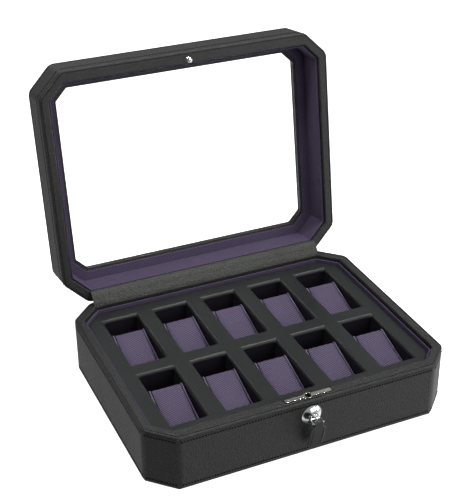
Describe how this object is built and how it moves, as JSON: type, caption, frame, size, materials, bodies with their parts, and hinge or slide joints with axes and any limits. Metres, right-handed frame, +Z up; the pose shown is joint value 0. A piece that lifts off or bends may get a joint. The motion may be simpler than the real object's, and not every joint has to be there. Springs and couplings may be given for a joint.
{
  "type": "watch box",
  "caption": "Octagonal leather-covered watch box with an open glazed lid, cushions in two rows of cells, and a front lock with its key.",
  "frame": {"origin": "centre of the underside", "axes": "+X along the width to the right seen from the front, +Y to the back, +Z up; the lid is hinged at the back"},
  "size_m": [0.33, 0.3577, 0.3141],
  "materials": {
    "board": "matte",
    "leather": "satin",
    "lining": "matte",
    "cell_lining": "matte",
    "cushion_fabric": "matte",
    "cushion_core": "matte",
    "felt": "matte",
    "chrome": "polished",
    "steel": "satin",
    "brass": "satin",
    "glass": "gloss"
  },
  "bodies": {
    "base": {"base_core": "board", "base_floor": "board", "base_leather": "leather", "base_lining": "lining", "compartment_floor": "cell_lining", "tray_rails": "board", "tray_dividers": "board", "cell_linings": "cell_lining", "tray_top": "leather", "underside_felt": "felt", "strike_plate": "chrome", "strike_screws": "chrome", "lock_rose": "chrome", "lock_case": "steel", "base_hinge_leaves": "steel", "base_hinge_screws": "steel", "hinge_pins": "steel", "hinge_web": "leather"},
    "lid": {"lid_core": "board", "lid_top_board": "board", "lid_leather": "leather", "glass_pane": "glass", "window_bead": "leather", "lid_lining": "lining", "lid_border": "lining", "catch_stud": "chrome", "lid_hinge_leaves": "steel", "lid_hinge_screws": "steel"},
    "plug": {"lock_plug": "chrome"},
    "bolt": {"lock_bolt": "brass"},
    "key": {"key": "chrome"},
    "fob": {"key_fob": "leather"},
    "cushion_1": {"cushion_core_1": "cushion_core", "cushion_sleeve_1": "cushion_fabric"},
    "cushion_2": {"cushion_core_2": "cushion_core", "cushion_sleeve_2": "cushion_fabric"},
    "cushion_3": {"cushion_core_3": "cushion_core", "cushion_sleeve_3": "cushion_fabric"},
    "cushion_4": {"cushion_core_4": "cushion_core", "cushion_sleeve_4": "cushion_fabric"},
    "cushion_5": {"cushion_core_5": "cushion_core", "cushion_sleeve_5": "cushion_fabric"},
    "cushion_6": {"cushion_core_6": "cushion_core", "cushion_sleeve_6": "cushion_fabric"},
    "cushion_7": {"cushion_core_7": "cushion_core", "cushion_sleeve_7": "cushion_fabric"},
    "cushion_8": {"cushion_core_8": "cushion_core", "cushion_sleeve_8": "cushion_fabric"},
    "cushion_9": {"cushion_core_9": "cushion_core", "cushion_sleeve_9": "cushion_fabric"},
    "cushion_10": {"cushion_core_10": "cushion_core", "cushion_sleeve_10": "cushion_fabric"}
  },
  "joints": [
    {"name": "lid_hinge", "type": "hinge", "parent": "base", "child": "lid", "pos_m": [0, 0.128, 0.0615], "axis": [-1, 0, 0], "range_deg": [-99.3, 0], "deforming": ["hinge_web"]},
    {"name": "plug_turn", "type": "hinge", "parent": "base", "child": "plug", "pos_m": [0, -0.128, 0.0442], "axis": [0, 1, 0], "range_deg": [0, 90]},
    {"name": "bolt_slide", "type": "slide", "parent": "base", "child": "bolt", "axis": [-1, 0, 0], "range_m": [0, 0.006]},
    {"name": "key_withdraw", "type": "slide", "parent": "plug", "child": "key", "axis": [0, -1, 0], "range_m": [0, 0.02]},
    {"name": "fob_swing", "type": "hinge", "parent": "key", "child": "fob", "pos_m": [0, -0.142, 0.0442], "axis": [1, 0, 0], "range_deg": [-90, 0]},
    {"name": "cushion_1_lift", "type": "slide", "parent": "base", "child": "cushion_1", "axis": [0, 0, 1], "range_m": [0, 0.07]},
    {"name": "cushion_2_lift", "type": "slide", "parent": "base", "child": "cushion_2", "axis": [0, 0, 1], "range_m": [0, 0.07]},
    {"name": "cushion_3_lift", "type": "slide", "parent": "base", "child": "cushion_3", "axis": [0, 0, 1], "range_m": [0, 0.07]},
    {"name": "cushion_4_lift", "type": "slide", "parent": "base", "child": "cushion_4", "axis": [0, 0, 1], "range_m": [0, 0.07]},
    {"name": "cushion_5_lift", "type": "slide", "parent": "base", "child": "cushion_5", "axis": [0, 0, 1], "range_m": [0, 0.07]},
    {"name": "cushion_6_lift", "type": "slide", "parent": "base", "child": "cushion_6", "axis": [0, 0, 1], "range_m": [0, 0.07]},
    {"name": "cushion_7_lift", "type": "slide", "parent": "base", "child": "cushion_7", "axis": [0, 0, 1], "range_m": [0, 0.07]},
    {"name": "cushion_8_lift", "type": "slide", "parent": "base", "child": "cushion_8", "axis": [0, 0, 1], "range_m": [0, 0.07]},
    {"name": "cushion_9_lift", "type": "slide", "parent": "base", "child": "cushion_9", "axis": [0, 0, 1], "range_m": [0, 0.07]},
    {"name": "cushion_10_lift", "type": "slide", "parent": "base", "child": "cushion_10", "axis": [0, 0, 1], "range_m": [0, 0.07]}
  ],
  "couplings": [
    {"joint": "bolt_slide", "follows": "plug_turn", "m_per_rad": 0.0038197}
  ]
}
